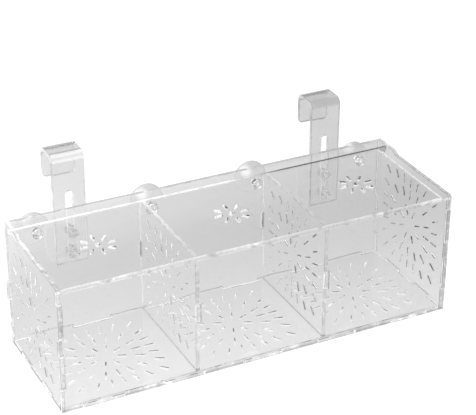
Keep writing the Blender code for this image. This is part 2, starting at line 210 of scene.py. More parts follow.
def makeFloor(values):
    # The camera sees it white with a faint shadow, glass sees the ground glowing with painted shade, and
    # light a matte floor
    half, height = values["floorSize"] / 2, values["floorHeight"]
    corners = [(-half, -half, height), (half, -half, height), (half, half, height), (-half, half, height)]
    mesh = bpy.data.meshes.new("floor")
    mesh.from_pydata(corners, [], [(0, 1, 2, 3)])
    floor = bpy.data.objects.new("floor", mesh)
    bpy.context.scene.collection.objects.link(floor)
    material = bpy.data.materials.new("floor")
    tree = clearedTree(material)
    x, y, _ = addSplit(tree, addPlace(tree))
    # Painted shade: the ground seen through glass glows darker to the right, and darker where the box's
    # shadow would fall
    across = addSpan(tree, x, *values["floorAcross"], values["floorToneLeft"], values["floorToneRight"])
    back = addSmoothSpan(tree, y, *values["floorBack"], values["floorToneNear"], values["floorToneFar"])
    beyond = addSmoothSpan(tree, y, *values["floorBeyond"], 1, values["floorFarLift"])
    paintedShadeGround = addMath(tree, "MULTIPLY", across, addMath(tree, "MULTIPLY", back, beyond))
    seen = addNode(tree, "ShaderNodeEmission", paintedShadeGround).outputs[0]
    matte = addNode(tree, "ShaderNodeBsdfDiffuse", (values["floorTone"],) * 3 + (1,)).outputs[0]
    paper = addNode(tree, "ShaderNodeBsdfDiffuse", white).outputs[0]
    glow = addNode(tree, "ShaderNodeEmission", white, 1 / values["floorWhite"]).outputs[0]
    ray = addNode(tree, "ShaderNodeLightPath").outputs
    glassRay = addMath(tree, "MAXIMUM", ray["Is Transmission Ray"], ray["Is Glossy Ray"])
    through = blendShaders(tree, glassRay, matte, seen)
    shaded = blendShaders(tree, values["floorWhite"], paper, glow)
    addNode(tree, "ShaderNodeOutputMaterial", blendShaders(tree, ray["Is Camera Ray"], through, shaded))
    mesh.materials.append(material)


def makeSoftbox(values):
    lamp = bpy.data.lights.new("softbox", "AREA")
    lamp.shape = "SQUARE"
    lamp.size = values["softboxSize"]
    lamp.energy = values["softboxPower"]
    softbox = bpy.data.objects.new("softbox", lamp)
    place = Vector(values["softboxPlace"])
    softbox.matrix_world = Matrix.Translation(place) @ (-place).to_track_quat("-Z", "Y").to_matrix().to_4x4()
    bpy.context.scene.collection.objects.link(softbox)


makeWorld(studioValues)
makeFloor(studioValues)
makeSoftbox(studioValues)
print("studio made")


# The box: sizes in metres, as the solids have them
boxValues = {
    "sheet": 0.003,
    "gap": 0.0003,  # where the real sheets are glued
    "width": 0.300,
    "depth": 0.098,
    "height": 0.095,
    "rearRise": 0.0024,  # of the back panel and the ears over the rest
    "cells": 3,
    "bevels": (0.0003, 0.00003),  # round the outline and round the holes
}
sheetT = boxValues["sheet"]
gap = boxValues["gap"]
halfWidth = boxValues["width"] / 2
halfDepth = boxValues["depth"] / 2
boxHeight = boxValues["height"]
innerWidth = halfWidth - sheetT
innerDepth = halfDepth - sheetT
wallTop = boxHeight - sheetT - gap
rearTop = boxHeight + boxValues["rearRise"]
cellSpacing = (2 * innerWidth - (boxValues["cells"] - 1) * sheetT) / boxValues["cells"] + sheetT


# Outlines and holes, as loops of points in a sheet's own plane
def arcPoints(centre, radius, start, end, steps):
    # centre + radius (cos a, sin a), with a going from start to end
    angle = np.linspace(start, end, steps + 1)
    return np.stack((centre[0] + radius * np.cos(angle), centre[1] + radius * np.sin(angle)), axis=1)


def circlePoints(centre, radius, sides):
    return arcPoints(centre, radius, 0, 2 * np.pi * (1 - 1 / sides), sides - 1)


def slotLoops(centres, turns, length, width, steps):
    # One rounded slot, two half circles a straight length apart, turned and moved to each centre at once
    radius = width / 2
    reach = length / 2 - radius
    half = np.linspace(-np.pi / 2, np.pi / 2, steps + 1)
    angle = np.concatenate((half, half + np.pi))
    side = np.repeat((reach, -reach), steps + 1)
    along, across = side + radius * np.cos(angle), radius * np.sin(angle)
    cosine, sine = np.cos(turns)[:, None], np.sin(turns)[:, None]
    u = centres[:, :1] + along * cosine - across * sine
    v = centres[:, 1:] + along * sine + across * cosine
    return list(np.stack((u, v), axis=2))


burstValues = {
    "margin": 0.0112,  # from the cell's half size to the burst's
    "slotWidth": 0.0010,
    "endSteps": 6,
    "rings": (  # count, first turn, place, slot length, exponent; place and length in shares of the size
        (8, 0.5, 0.303, 0.174, 2),
        (16, 0, 0.614, 0.207, 4.8),
        (24, 0, 0.901, 0.198, 12)),
}


def burstLoops(centreU, centreV):
    # Rings of radial slots whose centres lie on |u|^n + |v|^n = size^n
    values = burstValues
    size = min(boxHeight, boxValues["depth"], cellSpacing) / 2 - values["margin"]
    loops = []
    for count, first, place, length, power in values["rings"]:
        turns = 2 * np.pi * (np.arange(count) + first) / count
        stretch = (np.abs(np.cos(turns)) ** power + np.abs(np.sin(turns)) ** power) ** (1 / power)
        radius = size * place / stretch
        centres = np.stack((centreU + radius * np.cos(turns), centreV + radius * np.sin(turns)), axis=1)
        loops += slotLoops(centres, turns, size * length, values["slotWidth"], values["endSteps"])
    return loops


def centredRow(count, spacing):
    return spacing * (np.arange(count) - (count - 1) / 2)


def steppedEdge(start, end, base, steps):
    # Points (along, level) of an edge at the base level that steps to other levels
    rows = [(start, base)]
    for low, high, level in steps:
        rows += [(low, base), (low, level), (high, level), (high, base)]
    return np.array(rows + [(end, base)])


def tabSpans(count, spacing, length, wider, level):
    reach = length / 2 + wider
    return [(middle - reach, middle + reach, level) for middle in centredRow(count, spacing)]


def unit(vectors):
    return vectors / np.linalg.norm(vectors, axis=1)[:, None]


# A sheet's material slots: its faces, outline edges, hole walls and the bevels of the outline
faceSlot, edgeSlot, holeSlot, rimSlot = range(4)


def newPiece(name, points, faces, slots, materials):
    mesh = bpy.data.meshes.new(name)
    mesh.from_pydata(points.tolist(), [], faces)
    for material in materials:
        mesh.materials.append(material)
    mesh.polygons.foreach_set("material_index", np.asarray(slots, dtype=np.int32))
    mesh.validate()
    piece = bpy.data.objects.new(name, mesh)
    bpy.context.scene.collection.objects.link(piece)
    return piece


def smooth(piece, sharpDegrees):
    piece.data.shade_smooth()
    piece.data.set_sharp_from_angle(angle=math.radians(sharpDegrees))
    return piece


def makeSheet(name, outline, holes, place, materials, bevels=boxValues["bevels"], creases=()):
    # Four layers of the same loops: set in by the bevel at both faces, full size between them.
    # Inset = point + bevel (n1 + n2) / (1 + n1.n2), with n1 and n2 the normals of the two sides that meet.
    loops = [np.asarray(outline)] + [np.asarray(hole)[::-1] for hole in holes]
    counts = [len(loop) for loop in loops]
    flat = np.concatenate(loops)
    total = len(flat)
    here = np.arange(total)
    outer = here < counts[0]
    spans = np.split(here, np.cumsum(counts)[:-1])
    following = np.concatenate([np.roll(span, -1) for span in spans])
    previous = np.concatenate([np.roll(span, 1) for span in spans])
    quarterTurn = np.array(((0, 1), (-1, 0)))
    sideOut = unit(flat[following] - flat) @ quarterTurn
    sideIn = unit(flat - flat[previous]) @ quarterTurn
    bevel = np.where(outer, bevels[0], bevels[1])
    inset = flat + bevel[:, None] * (sideOut + sideIn) / (1 + np.sum(sideOut * sideIn, axis=1))[:, None]
    rings = [spans[0].tolist()] + [span[::-1].tolist() for span in spans[1:]]
    found = delaunay_2d_cdt([Vector(point) for point in inset.tolist()], list(creases), rings, 1, 1e-8)
    source = np.array([ids[0] for ids in found[3]])
    caps = source[np.array([corners for corners, ids in zip(found[2], found[5]) if list(ids) == [0]])]
    layers = ((inset, 0), (flat, bevel), (flat, sheetT - bevel), (inset, sheetT))
    points = np.concatenate([place(*layer.T, np.zeros(total) + height) for layer, height in layers])
    walls = np.concatenate([np.stack((here + k * total, following + k * total, following + (k + 1) * total,
                                      here + (k + 1) * total), axis=1) for k in range(3)])
    wallSlots = np.concatenate([np.where(outer, slot, holeSlot) for slot in (rimSlot, edgeSlot, rimSlot)])
    capSlots = np.full(len(caps), faceSlot)
    faces = caps[:, ::-1].tolist() + walls.tolist() + (caps + 3 * total).tolist()
    return newPiece(name, points, faces, np.concatenate((capSlots, wallSlots, capSlots)), materials)


# Ways to stand a sheet in the box: u and v lie in the sheet, and w goes through it
def lyingAt(z):
    return lambda u, v, w: np.stack((u, v, z + w), axis=1)


def facingFront(y):
    return lambda u, v, w: np.stack((u, y - w, v), axis=1)


def facingRight(x):
    return lambda u, v, w: np.stack((x + w, u, v), axis=1)


# Surfaces: clear plastics that have been handled, and laser-cut edges. Base is the roughness of a clean
# place and haze what marks add to it; scratch and wave are the scales of hair scratches and slow swells.
# Glow is a painted glow, by emission.
acrylicLooks = {
    "tone": 0.985, "ior": 1.49, "clear": 1, "glow": 0, "base": 0.0, "haze": 0.02, "scratch": 900.0,
    "wave": 26.0, "waveDepth": 0.0004,
}
nylonLooks = {
    # the nylon screws and nuts have a faint painted glow
    "tone": 0.9, "ior": 1.53, "clear": 0.82, "glow": 0.1, "base": 0.15, "haze": 0.18, "scratch": 1500.0,
    "wave": 300.0, "waveDepth": 0.0003,
}
vinylLooks = {
    "tone": 0.97, "ior": 1.53, "clear": 1, "glow": 0, "base": 0.13, "haze": 0.03, "scratch": 600.0,
    "wave": 120.0, "waveDepth": 0.0008,
}
hookLooks = {
    "tone": 0.975, "ior": 1.49, "clear": 1, "glow": 0, "base": 0.0, "haze": 0.03, "scratch": 900.0,
    "wave": 60.0, "waveDepth": 0.0006,
}
# The bends are darker and less clear, under the painted highlights that bendMaterial adds
bendLooks = dict(hookLooks, tone=0.55, base=0.3, haze=0.05, clear=0.4, waveDepth=0.00002)
handledMarks = {  # shared by all of these
    "hairTurn": (0.5, 0.7, 0.6),
    "hairStretch": (1, 0.06, 0.06),
    "hairBand": 0.006,
    "patch": 70,  # where the hair scratches show
    "patchSpan": (0.5, 0.62),
    "smudge": 45,
    "smudgeSpan": (0.45, 0.75),
    "dulled": 0.97,
}
edgeLooks = {
    "bright": 0.88,
    "dark": 0.68,  # in dashes
    "dash": 120.0,
    "dashShare": 0.42,
    "streak": 2600.0,
    "stretch": (1, 1, 1),
    # painted glow: how strongly the cut edges glow by emission
    "glow": 0.47,
    "roughness": 0.1,
    "clear": 0.6,
    "fadeWay": (0, 0, 0),
    "fadeFrom": 1.0,
    "fadeTo": 1.4,
    "fadeTone": 1.0,
    "lowTone": 1.0,  # painted shade: darker in the lowest 5 mm
    "footTone": 0.6,  # and darker still in the lowest half millimetre
}
edgeMarks = {  # shared by all cut edges
    "dashSoftness": 0.06,
    "paintedSideLight": (1.04, 0.76),  # painted light: brighter at the box's left end, darker at its right one
    "lowSpan": (0.0044, 0.006),
    "footSpan": (0.0002, 0.0009),
    "streakSpan": (0.3, 0.7),
    "streakTones": (0.82, 1.04),
    "squeeze": 0.04,
    "depth": 0.00005,
}
rimLooks = dict(edgeLooks, glow=0.42, clear=0.4, roughness=0.2, lowTone=0.5)
holeWallLooks = {
    "patch": 160.0,
    "patchSpan": (0.35, 0.65),
    "patchTones": (0.4, 1.4),  # times the wall's own painted glow
    "shownDepth": (0.4, 0.6),  # in shares of the sheet
}
leftward, rightward, frontward, downward = (-1, 0, 0), (1, 0, 0), (0, -1, 0), (0, 0, -1)


def fading(way, start, end, tone):
    # Painted light and shade along one edge: its tone goes from itself at start to a share of itself at end,
    # measured along the way
    return {"fadeWay": way, "fadeFrom": start, "fadeTo": end, "fadeTone": tone}


def newGroup(name, inputs, outputs):
    # inputs and outputs give each socket's type by name
    group = bpy.data.node_groups.new(name, "ShaderNodeTree")
    for direction, sockets in (("INPUT", inputs), ("OUTPUT", outputs)):
        for label, kind in sockets.items():
            group.interface.new_socket(label, in_out=direction, socket_type="NodeSocket" + kind)
    return group, addNode(group, "NodeGroupInput").outputs, addNode(group, "NodeGroupOutput").inputs


def makeHandledGroup():
    # Haze = base + smudges + hair scratches, where a stretched noise stays within a narrow band
    marks = handledMarks
    inputs = dict.fromkeys(("tone", "base", "haze", "scratch", "wave"), "Float")
    group, given, result = newGroup("handledSurface", inputs,
                                    {"Colour": "Color", "Roughness": "Float", "Height": "Float"})
    place = addPlace(group)
    turned = addNode(group, "ShaderNodeMapping", place, (0, 0, 0), marks["hairTurn"], marks["hairStretch"])
    hair = addNoise(group, turned.outputs[0], given["scratch"], 1)
    offMiddle = addMath(group, "ABSOLUTE", addMath(group, "SUBTRACT", hair, 0.5))
    hairs = addSpan(group, offMiddle, 0, marks["hairBand"], 1, 0)
    patches = addSpan(group, addNoise(group, place, marks["patch"]), *marks["patchSpan"], 0, 1)
    smudges = addSpan(group, addNoise(group, place, marks["smudge"], 4), *marks["smudgeSpan"], 0, 1)
    total = addMath(group, "ADD", smudges, addMath(group, "MULTIPLY", hairs, patches))
    dull = addSpan(group, total, 0, 2, 1, marks["dulled"])
    feedAll(group, result, {
        "Colour": addMath(group, "MULTIPLY", dull, given["tone"]),
        "Roughness": addMath(group, "MULTIPLY_ADD", total, given["haze"], given["base"]),
        "Height": addNoise(group, place, given["wave"], 1)})
    return group


def makeEdgeGroup():
    # Tone = bright, with dark dashes where a slow noise is low, times painted light and shade: its changes
    # along the box, near the floor and along the fade's way; times fine laser streaks. The edge glows by
    # that tone, a painted glow
    marks = edgeMarks
    inputs = dict.fromkeys(("bright", "dark", "dash", "dashShare", "streak", "glow", "fadeFrom", "fadeTo",
                            "fadeTone", "lowTone", "footTone"), "Float")
    group, given, result = newGroup("cutEdge", dict(inputs, stretch="Vector", fadeWay="Vector"),
                                    {"Colour": "Color", "Glow": "Color", "Height": "Float"})
    place = addPlace(group)
    x, _, z = addSplit(group, place)
    slow = addNoise(group, place, given["dash"])
    dashEnd = addMath(group, "ADD", given["dashShare"], marks["dashSoftness"])
    tone = addMix(group, addSmoothSpan(group, slow, given["dashShare"], dashEnd, 0, 1), given["dark"],
                  given["bright"])
    pressed = addNode(group, "ShaderNodeVectorMath", place, given["stretch"], operation="MULTIPLY")
    fine = addNoise(group, pressed.outputs[0], given["streak"])
    way = addDot(group, place, given["fadeWay"])
    for share in (addSpan(group, x, -halfWidth, halfWidth, *marks["paintedSideLight"]),
                  addSpan(group, z, *marks["lowSpan"], given["lowTone"], 1),
                  addSpan(group, z, *marks["footSpan"], given["footTone"], 1),
                  addSpan(group, way, given["fadeFrom"], given["fadeTo"], 1, given["fadeTone"]),
                  addSpan(group, fine, *marks["streakSpan"], *marks["streakTones"])):
        tone = addMath(group, "MULTIPLY", tone, share)
    # Painted glow: the edge's emission follows its tone
    feedAll(group, result, {"Colour": tone, "Glow": addMath(group, "MULTIPLY", tone, given["glow"]),
                            "Height": fine})
    return group


handledGroup = makeHandledGroup()
edgeGroup = makeEdgeGroup()


def newMaterial(name, group, looks):
    # The group's inputs are set from the looks. Gives the material, its tree, its shader's inputs and the
    # group's outputs.
    material = bpy.data.materials.new(name)
    material.use_nodes = True
    tree = material.node_tree
    placed = addNode(tree, "ShaderNodeGroup", node_tree=group)
    for socket in placed.inputs:
        socket.default_value = looks[socket.name]
    return material, tree, tree.nodes["Principled BSDF"].inputs, placed.outputs


def clearMaterial(name, looks):
    material, tree, shader, handled = newMaterial(name, handledGroup, looks)
    feedAll(tree, shader, {
        "Base Color": handled["Colour"], "Roughness": handled["Roughness"], "IOR": looks["ior"],
        "Transmission Weight": looks["clear"], "Emission Color": handled["Colour"],
        "Emission Strength": looks["glow"], "Normal": addBump(tree, handled["Height"], looks["waveDepth"])})
    return material, tree, shader


def edgeMaterial(name, looks):
    material, tree, shader, edge = newMaterial(name, edgeGroup, looks)
    feedAll(tree, shader, {
        "Base Color": edge["Colour"], "Roughness": looks["roughness"], "IOR": acrylicLooks["ior"],
        "Transmission Weight": looks["clear"], "Emission Color": edge["Glow"], "Emission Strength": 1,
        "Normal": addBump(tree, edge["Height"], edgeMarks["depth"])})
    return material


def holeWallMaterial(name, glow, sheetX):
    # Clear like the faces, with a faint patchy painted glow in place of the light that the sheet carries to
    # its cuts.
    # In a sheet that stands at sheetX, it fades away halfway through, because the far part hardly shows.
    looks = holeWallLooks
    material, tree, shader = clearMaterial(name, acrylicLooks)
    place = addPlace(tree)
    darkest, brightest = (glow * tone for tone in looks["patchTones"])
    patches = addSpan(tree, addNoise(tree, place, looks["patch"]), *looks["patchSpan"], darkest, brightest)
    feedAll(tree, shader, {"Emission Color": patches, "Emission Strength": 1})
    if sheetX is not None:
        start, end = (sheetX + share * sheetT for share in looks["shownDepth"])
        feed(tree, shader["Alpha"], addSmoothSpan(tree, addSplit(tree, place)[0], start, end, 1, 0))
    return material


clearSheet = clearMaterial("clearSheet", acrylicLooks)[0]
clearNylon = clearMaterial("clearNylon", nylonLooks)[0]


def squeezed(axis):
    # Laser streaks cross an edge, so their noise is squeezed along the axis that goes through the sheet
    stretch = [1.0, 1.0, 1.0]
    stretch[axis] = edgeMarks["squeeze"]
    return stretch


def sheetMaterials(name, axis, values, sheetX=None):
    # One for each of a sheet's slots, where the sheet's own values stand over the shared looks. These values
    # set the sheet's painted light and shade: slot-wall glow, edge and rim tones, and fades
    edge = edgeMaterial(name + "Edge", dict(edgeLooks, stretch=squeezed(axis), **values["edge"]))
    wall = holeWallMaterial(name + "SlotWall", values["holeGlow"], sheetX)
    rim = edgeMaterial(name + "Rim", {**rimLooks, "stretch": squeezed(axis), **values["rim"]})
    return [clearSheet, edge, wall, rim]


def stand(piece, node, body="box"):
    # The piece stands for its solid, on the solid's own body
    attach(piece, body)
    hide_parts(node)
    corners = np.array([tuple(corner) for corner in piece.bound_box])
    low, high = (np.array(corner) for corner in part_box(node))
    off = max(np.abs(corners.min(axis=0) - low).max(), np.abs(corners.max(axis=0) - high).max())
    print("%-24s off by %.2f mm" % (node, 1000 * off))


# Floor panel, tabbed into the four walls
floorValues = {
    "tabs": 5,
    "tabShare": 0.5,  # of the tabs' spacing
    "endTabs": 2,
    "endSpacing": 0.41,  # in shares of the depth
    "endLength": 0.18,
    # painted light and shade: the slot walls glow, the rims are painted bright, and the edges darken at the
    # foot and at the left end
    "holeGlow": 0.13,
    "edge": {"bright": 1.0, "dark": 0.85, "glow": 0.64, "footTone": 0.45,
             **fading(leftward, halfWidth - 0.002, halfWidth - 0.0005, 0.75)},
    "rim": {"bright": 1.8, "dark": 0.45, "dash": 90.0, "lowTone": 0.6},
}


def floorSideTabs(wider, level):
    spacing = boxValues["width"] / floorValues["tabs"]
    return tabSpans(floorValues["tabs"], spacing, spacing * floorValues["tabShare"], wider, level)


def floorEndTabs(wider, level):
    spacing = boxValues["depth"] * floorValues["endSpacing"]
    length = boxValues["depth"] * floorValues["endLength"]
    return tabSpans(floorValues["endTabs"], spacing, length, wider, level)


def floorOutline():
    reachX, reachY = innerWidth - gap, innerDepth - gap
    side = steppedEdge(-reachX, reachX, reachY, floorSideTabs(0, halfDepth))[:-1]
    end = steppedEdge(-reachY, reachY, reachX, floorEndTabs(0, halfWidth))[:-1]
    return np.concatenate((side * (1, -1), end[:, ::-1], side * (-1, 1), end[:, ::-1] * (-1, -1)))


def makeFloorPanel():
    middles = centredRow(boxValues["cells"], cellSpacing)
    holes = [loop for middle in middles for loop in burstLoops(middle, 0)]
    materials = sheetMaterials("floorPanel", 2, floorValues)
    return makeSheet("floorPanel", floorOutline(), holes, lyingAt(0), materials)


# Dividers, each with one tab into the front panel and one into the back panel
dividerValues = {
    "tab": (0.477, 0.620),  # in shares of the wall's height
    "topGap": 0.001,
    # painted light: only the left divider's slot walls glow
    "holeGlows": {"left": 0.14, "right": 0.0},
    "frontTones": {"left": 0.84, "right": 1.0},  # painted shade: of the edge that meets the front panel, darker on the left divider
    "frontFrom": innerDepth - 0.0018,
    "frontTo": innerDepth - 0.0008,
    "edge": {"bright": 0.92, "dark": 0.84, "glow": 0.58, "lowTone": 0.5},
    "rim": {"bright": 0.9, "dark": 0.675},
}
dividerPlaces = dict(zip(("left", "right"), centredRow(boxValues["cells"] - 1, cellSpacing)))


def spanEnds(shares):
    return shares[0] * wallTop, shares[1] * wallTop


def dividerTabHoles():
    low, high = spanEnds(dividerValues["tab"])
    half = sheetT / 2 + gap
    return [np.array(((middle - half, low - gap), (middle + half, low - gap), (middle + half, high + gap),
                      (middle - half, high + gap))) for middle in dividerPlaces.values()]


def dividerOutline():
    low, high = spanEnds(dividerValues["tab"])
    side = steppedEdge(sheetT + gap, boxHeight - sheetT - dividerValues["topGap"], innerDepth - gap,
                       [(low, high, halfDepth)])[:, ::-1]
    return np.concatenate((side, side[::-1] * (-1, 1)))


def makeDivider(side):
    values, name = dividerValues, side + "Divider"
    fade = fading(frontward, values["frontFrom"], values["frontTo"], values["frontTones"][side])
    looks = {"holeGlow": values["holeGlows"][side], "edge": {**values["edge"], **fade},
             "rim": {**values["rim"], **fade}}
    x = dividerPlaces[side] - sheetT / 2
    return makeSheet(name, dividerOutline(), burstLoops(0, boxHeight / 2), facingRight(x),
                     sheetMaterials(name, 0, looks, x))


# Front and back panels; the fingers and tabs of all the walls are in shares of their height
wallValues = {
    "fingers": ((0.191, 0.475), (0.620, 0.905)),
    "rearFingerTop": 0.191,
    "rearTab": (0.393, 0.556),
    "rearTabStandOut": 0.0014,
    "roundHoleSides": 40,
}
# Painted light and shade of the front and back panels: their slot walls glow, the front rims and back edges
# darken at the left end, and the back rims darken to the right
frontValues = {
    "holeGlow": 0.2,
    "edge": {"footTone": 0.95},
    "rim": {"bright": 0.84, "dark": 0.63, "lowTone": 0.9,
            **fading(leftward, halfWidth - 0.005, halfWidth - 0.0035, 0.6)},
}
backValues = {
    "holeGlow": 0.2,
    "edge": {"bright": 0.86, "dark": 0.8, **fading(leftward, halfWidth - 0.0015, halfWidth - 0.0005, 0.78)},
    "rim": {"bright": 0.86, "dark": 0.645, **fading(rightward, -0.1, 0.1, 0.82)},
}


def notchedBottom():
    return steppedEdge(-halfWidth, halfWidth, 0, floorSideTabs(gap, sheetT + gap))[:-1]


def frontOutline():
    spans = map(spanEnds, wallValues["fingers"])
    notches = [(low - gap, high + gap, innerWidth - gap) for low, high in spans]
    side = steppedEdge(0, wallTop, halfWidth, notches)[:, ::-1]
    return np.concatenate((notchedBottom(), side, side[:0:-1] * (-1, 1)))


def backOutline():
    low, high = spanEnds(wallValues["rearTab"])
    fingerTop = wallValues["rearFingerTop"] * wallTop
    inner, tabEnd = innerWidth - gap, halfWidth + wallValues["rearTabStandOut"]
    side = np.array(((halfWidth, 0), (halfWidth, fingerTop), (inner, fingerTop), (inner, low),
                     (tabEnd, low), (tabEnd, high), (inner, high), (inner, rearTop)))
    return np.concatenate((notchedBottom(), side, side[:0:-1] * (-1, 1)))


def makeFrontPanel():
    return makeSheet("frontPanel", frontOutline(), dividerTabHoles(), facingFront(-innerDepth),
                     sheetMaterials("frontPanel", 1, frontValues))


def makeBackPanel():
    # Holes for the dividers' tabs, the clamp screws and the suction cups' necks
    sides = wallValues["roundHoleSides"]
    screwHole = screwValues["radius"] + screwValues["clearance"]
    cupHole = cupValues["neck"] + cupValues["clearance"]
    holes = dividerTabHoles()
    for x in (-hookCentre, hookCentre):
        holes += [circlePoints((x, z), screwHole, sides) for z in screwHeights.values()]
    holes += [circlePoints((x, cupHeight), cupHole, sides) for x in cupCentres.values()]
    return makeSheet("backPanel", backOutline(), holes, facingFront(halfDepth),
                     sheetMaterials("backPanel", 1, backValues))


# End panels, with the raised rear ears that hold the lid's hinge tabs
endValues = {
    "earLength": 0.021,
    "earRamp": 0.0047,
    "cornerSteps": 12,
    "pivotClearance": 0.0005,
    # Painted light and shade of the end panels: only the left one's slot walls glow; its edges darken at the
    # foot and towards the front, and its rims darken low down
    "left": {"holeGlow": 0.1,
             "edge": {"bright": 1.0, "dark": 0.7, "footTone": 0.25, **fading(frontward, 0, 0.03, 0.8)},
             "rim": {"bright": 0.48, "dark": 0.36, "lowTone": 0.1}},
    "right": {"holeGlow": 0.0,
              "edge": {"bright": 0.83, "dark": 0.75, "glow": 0.54},
              "rim": {"bright": 0.5, "dark": 0.375}},
}


def pivotPlace():
    return innerDepth - lidValues["rearGap"] - sheetT / 2, boxHeight - sheetT / 2


def endOutline():
    inner = innerDepth - gap
    low, high = spanEnds(wallValues["rearTab"])
    fingerTop = wallValues["rearFingerTop"] * wallTop
    ear = halfDepth - endValues["earLength"]
    rear = np.array(((inner, fingerTop + gap), (halfDepth, fingerTop + gap), (halfDepth, low - gap),
                     (inner, low - gap), (inner, high + gap), (halfDepth, high + gap), (halfDepth, rearTop),
                     (ear, rearTop), (ear - endValues["earRamp"], boxHeight)))
    cornerZ = boxHeight - sheetT
    corner = arcPoints((-innerDepth, cornerZ), sheetT, np.pi / 2, np.pi, endValues["cornerSteps"])
    front = [(-inner, cornerZ)]
    for shares in reversed(wallValues["fingers"]):
        fingerLow, fingerHigh = spanEnds(shares)
        front += [(-inner, fingerHigh - gap), (-halfDepth, fingerHigh - gap), (-halfDepth, fingerLow + gap),
                  (-inner, fingerLow + gap)]
    bottom = steppedEdge(-inner, inner, 0, floorEndTabs(gap, sheetT + gap))
    return np.concatenate((bottom, rear, corner, np.array(front)))


def makeEndPanel(side, x):
    name = side + "EndPanel"
    radius = math.hypot(sheetT, sheetT) / 2 + endValues["pivotClearance"]
    pivot = circlePoints(pivotPlace(), radius, wallValues["roundHoleSides"])
    return makeSheet(name, endOutline(), burstLoops(0, boxHeight / 2) + [pivot], facingRight(x),
                     sheetMaterials(name, 0, endValues[side], x))


# Lid, with a square hinge tab at each rear corner and a vent star over each cell
lidValues = {
    "endGap": 0.0057,
    "rearGap": 0.0053,
    "tabInset": 0.0003,
    "vents": 3,
    "ventSpacing": 0.347,  # in shares of the lid's length
    "ventHole": 0.0021,
    "ventHoleSides": 32,
    "ventSlots": 8,
    "ventRadius": 0.010,
    "ventLength": 0.0062,
    "ventWidth": 0.0018,
    "holeGlow": 0.15,
    # painted light and shade: the slot walls glow, the edges darken lower down and the rims at the left end
    "edge": {"bright": 1.0, "dark": 0.76, "dashShare": 0.37, "glow": 0.66,
             **fading(downward, 0.0004 - boxHeight, 0.0024 - boxHeight, 0.8)},
    "rim": {"bright": 1.0, "dark": 0.75, "glow": 0.55,
            **fading(leftward, innerWidth - gap - 0.0015, innerWidth - gap - 0.0005, 0.5)},
    # painted reflection: the rear edge glows bright and fades to dark towards the right
    "rearEdge": {"bright": 1.0, "dark": 0.75, "glow": 1.0, "clear": 0.2, "roughness": 0.3,
                 **fading(rightward, 0.02, 0.06, 0.08)},
    # the left edge, painted darker
    "leftEdge": {"bright": 0.78, "dark": 0.68},
    "edgeReach": 0.0004,  # how far in a bevel still belongs to its edge
}
lidRearSlot, lidLeftSlot = 4, 5
lidLeft = -innerWidth + gap
lidRight = innerWidth - lidValues["endGap"]


def lidOutline():
    pivotY = pivotPlace()[0]
    rear, front, tabFront = pivotY + sheetT / 2, -halfDepth, pivotY - sheetT / 2
    tabEnd = halfWidth - lidValues["tabInset"]
    return np.array(((lidLeft, front), (lidRight, front), (lidRight, tabFront), (tabEnd, tabFront),
                     (tabEnd, rear), (-tabEnd, rear), (-tabEnd, tabFront), (lidLeft, tabFront)))


def ventLoops():
    # A round hole with a ring of radial slots, over each cell
    values = lidValues
    middleX, middleY = (lidLeft + lidRight) / 2, (-halfDepth + pivotPlace()[0] + sheetT / 2) / 2
    length, width, steps = values["ventLength"], values["ventWidth"], burstValues["endSteps"]
    turns = 2 * np.pi * np.arange(values["ventSlots"]) / values["ventSlots"]
    ring = values["ventRadius"] * np.stack((np.cos(turns), np.sin(turns)), axis=1)
    loops = []
    for offset in centredRow(values["vents"], (lidRight - lidLeft) * values["ventSpacing"]):
        centre = (middleX + offset, middleY)
        loops.append(circlePoints(centre, values["ventHole"], values["ventHoleSides"]))
        loops += slotLoops(ring + centre, turns, length, width, steps)
    return loops


def readFaces(piece):
    centres = np.empty(3 * len(piece.data.polygons))
    slots = np.empty(len(piece.data.polygons), dtype=np.int32)
    piece.data.polygons.foreach_get("center", centres)
    piece.data.polygons.foreach_get("material_index", slots)
    return centres.reshape(-1, 3), slots


def makeLid():
    # The rear edge, and the left edge with both hinge tabs, have painted light of their own: the rear edge
    # glows bright and goes dark towards the right, a painted reflection, and the left edge is painted darker
    values = lidValues
    materials = sheetMaterials("lid", 2, values)
    for name, looks in (("lidRearEdge", values["rearEdge"]), ("lidLeftEdge", values["leftEdge"])):
        materials.append(edgeMaterial(name, dict(edgeLooks, stretch=squeezed(2), **looks)))
    lid = makeSheet("lidPanel", lidOutline(), ventLoops(), lyingAt(boxHeight - sheetT), materials)
    centres, slots = readFaces(lid)
    x, y = centres[:, 0], centres[:, 1]
    cutFaces = (slots == edgeSlot) | (slots == rimSlot)
    slots[cutFaces & (y > pivotPlace()[0] + sheetT / 2 - values["edgeReach"])] = lidRearSlot
    slots[cutFaces & ((x < lidLeft + values["edgeReach"]) | (x > lidRight))] = lidLeftSlot
    lid.data.polygons.foreach_set("material_index", slots)
    return lid


